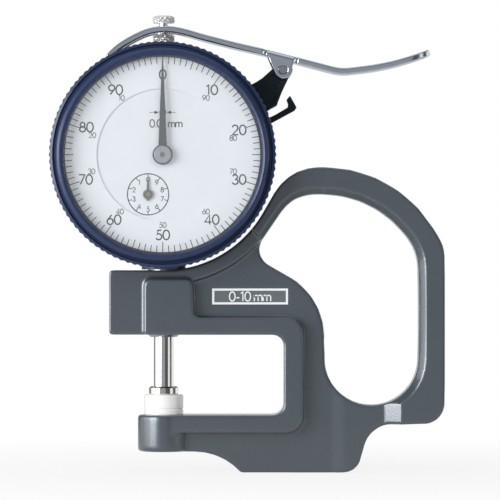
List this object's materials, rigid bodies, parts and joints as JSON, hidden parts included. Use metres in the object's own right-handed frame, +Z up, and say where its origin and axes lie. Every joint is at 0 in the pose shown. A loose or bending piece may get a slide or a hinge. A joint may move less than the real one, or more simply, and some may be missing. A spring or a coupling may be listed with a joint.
{
  "type": "dial thickness gauge",
  "caption": "Cast frame with a throat, loop handle and foot, carrying a dial indicator whose sprung spindle closes on an anvil and is raised by a thumb lever.",
  "frame": {"origin": "middle of the flat foot under the frame, halfway between its front and back", "axes": "+Z up along the spindle away from the foot, +X from the spindle towards the handle, -Y out of the dial towards the reader"},
  "size_m": [0.1002, 0.0234, 0.1165],
  "materials": {
    "frame_paint": "semi-gloss grey paint on a casting",
    "ceramic": "ground white ceramic",
    "plate_print": "grey plate with a white border",
    "dark_steel": "blackened screw steel",
    "steel": "ground steel",
    "brass": "machined brass",
    "case_paint": "dark satin paint",
    "black_rubber": "soft rubber",
    "chrome": "bright plating",
    "aluminium": "machined",
    "dial_white": "matt white dial paint",
    "black_plastic": "moulded black plastic",
    "bezel_blue": "dark blue, satin gloss",
    "crystal": "clear domed crystal",
    "pointer_grey": "dark grey paint"
  },
  "bodies": {
    "gauge_body": {"frame": "frame_paint", "anvil": "ceramic", "range_plate": "plate_print", "stem_set_screw": "dark_steel", "stem": "steel", "lower_bush": "brass", "case": "case_paint", "back_cover": "case_paint", "cover_gasket": "black_rubber", "cover_screws": "dark_steel", "upper_bush": "chrome", "bridge_plate": "brass", "bridge_pillars": "brass", "bridge_screws": "dark_steel", "pinion_cock": "brass", "cock_screw": "dark_steel", "guide_block": "steel", "spring_post": "steel", "return_spring": "steel", "hairspring": "dark_steel", "hairspring_stud": "brass", "dial_spacer": "aluminium", "inner_dial": "dial_white", "retaining_ring": "steel", "lever_bracket": "black_plastic", "bracket_screws": "dark_steel"},
    "bezel_body": {"bezel": "bezel_blue", "crystal": "crystal", "crystal_gasket": "black_rubber", "dial_ring": "dial_white"},
    "spindle_body": {"spindle": "steel", "contact_collar": "chrome", "contact_disc": "ceramic", "lifting_knob": "chrome", "guide_pin": "steel"},
    "pointer_body": {"centre_pinion": "steel", "main_pointer": "pointer_grey", "pointer_hub": "pointer_grey"},
    "counter_body": {"rack_pinion": "steel", "first_wheel": "brass", "counter_pointer": "pointer_grey"},
    "takeup_body": {"takeup_wheel": "brass", "takeup_arbor": "steel"},
    "lever_body": {"lifting_lever": "chrome", "lever_pin": "steel"},
    "clamp_body": {"clamp_screw": "chrome"}
  },
  "joints": [
    {"name": "spindle_slide", "type": "slide", "parent": "gauge_body", "child": "spindle_body", "axis": [0, 0, 1], "range_m": [0, 0.01], "stiffness_N_per_m": 50, "springref_m": -0.018, "deforming": ["return_spring"]},
    {"name": "bezel_turn", "type": "hinge", "parent": "gauge_body", "child": "bezel_body", "pos_m": [-0.03272, -0.012, 0.0807], "axis": [0, 1, 0], "continuous": true},
    {"name": "pointer_turn", "type": "hinge", "parent": "gauge_body", "child": "pointer_body", "pos_m": [-0.03272, -0.012, 0.0807], "axis": [0, 1, 0], "range_deg": [0, 3600]},
    {"name": "counter_turn", "type": "hinge", "parent": "gauge_body", "child": "counter_body", "pos_m": [-0.03643, -0.005, 0.0707], "axis": [0, -1, 0], "range_deg": [0, 360]},
    {"name": "takeup_turn", "type": "hinge", "parent": "gauge_body", "child": "takeup_body", "pos_m": [-0.02902, -0.005, 0.0907], "axis": [0, -1, 0], "range_deg": [0, 360]},
    {"name": "lever_pivot", "type": "hinge", "parent": "gauge_body", "child": "lever_body", "pos_m": [-0.00226, 0, 0.10245], "axis": [0, 1, 0], "range_deg": [0, 20.5]},
    {"name": "clamp_turn", "type": "hinge", "parent": "gauge_body", "child": "clamp_body", "pos_m": [-0.05973, 0, 0.0817], "axis": [-1, 0, 0], "range_deg": [0, 180]}
  ],
  "couplings": [
    {"joint": "pointer_turn", "follows": "spindle_slide", "rad_per_m": 6283.2},
    {"joint": "counter_turn", "follows": "spindle_slide", "rad_per_m": 628.32},
    {"joint": "takeup_turn", "follows": "spindle_slide", "rad_per_m": 628.32},
    {"joint": "lever_pivot", "follows": "spindle_slide", "rad_per_m": 34.8}
  ]
}
